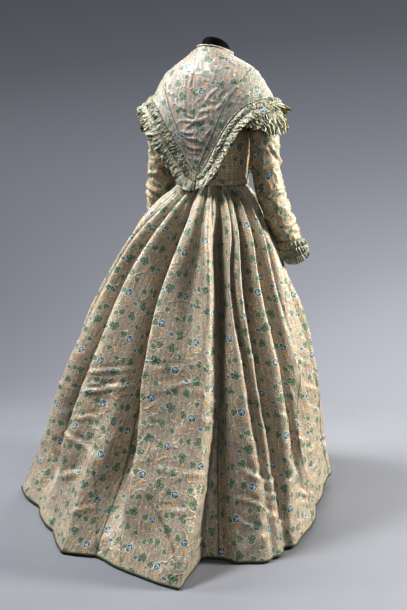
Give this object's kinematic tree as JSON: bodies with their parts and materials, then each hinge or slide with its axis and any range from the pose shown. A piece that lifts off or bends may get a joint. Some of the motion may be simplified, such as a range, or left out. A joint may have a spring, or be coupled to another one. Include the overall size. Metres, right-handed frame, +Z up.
{
  "type": "afternoon dress on a limbless dress form",
  "caption": "Long-sleeved afternoon dress in flowered silk taffeta with a frilled V-shaped pelerine, a gathered floor-length skirt and a short train, standing on a black dress form.",
  "frame": {"origin": "centre of the stand base's underside, on the floor under the waist", "axes": "+Z up, the dress faces -Y, its back and train are toward +Y, the wearer's left is +X"},
  "size_m": [0.9931, 1.1258, 1.4296],
  "materials": {
    "silk_skirt": "taffeta with a soft sheen, brocaded with small flowers and leaves",
    "silk_bodice": "taffeta with a soft sheen, brocaded with small flowers and leaves",
    "silk_pelerine": "paler taffeta, brocaded with small flowers and leaves",
    "silk_trim": "gathered and pinked taffeta",
    "braid": "dull dark green braid",
    "form_cover": "matte black cover",
    "stand_metal": "satin dark paint"
  },
  "bodies": {
    "root": {"skirt_width_1_centre_back": "silk_skirt", "skirt_width_2_back_right": "silk_skirt", "skirt_width_3_side_right": "silk_skirt", "skirt_width_4_front_right": "silk_skirt", "skirt_width_5_front_left": "silk_skirt", "skirt_width_6_side_left": "silk_skirt", "skirt_width_7_back_left": "silk_skirt", "hem_braid": "braid", "bodice_back": "silk_bodice", "bodice_front_left": "silk_bodice", "bodice_front_right": "silk_bodice", "waistband": "silk_bodice", "sleeve_left": "silk_bodice", "cuff_ruching_left": "silk_trim", "sleeve_right": "silk_bodice", "cuff_ruching_right": "silk_trim", "pelerine_back": "silk_pelerine", "pelerine_front_left": "silk_pelerine", "pelerine_front_right": "silk_pelerine", "pelerine_band_left": "silk_pelerine", "pelerine_frill_left": "silk_trim", "shoulder_ruffle_left": "silk_trim", "pelerine_band_right": "silk_pelerine", "pelerine_frill_right": "silk_trim", "shoulder_ruffle_right": "silk_trim", "neck_binding": "silk_pelerine", "dress_form": "form_cover", "stand_pole": "stand_metal", "stand_base": "stand_metal"}
  },
  "joints": []
}
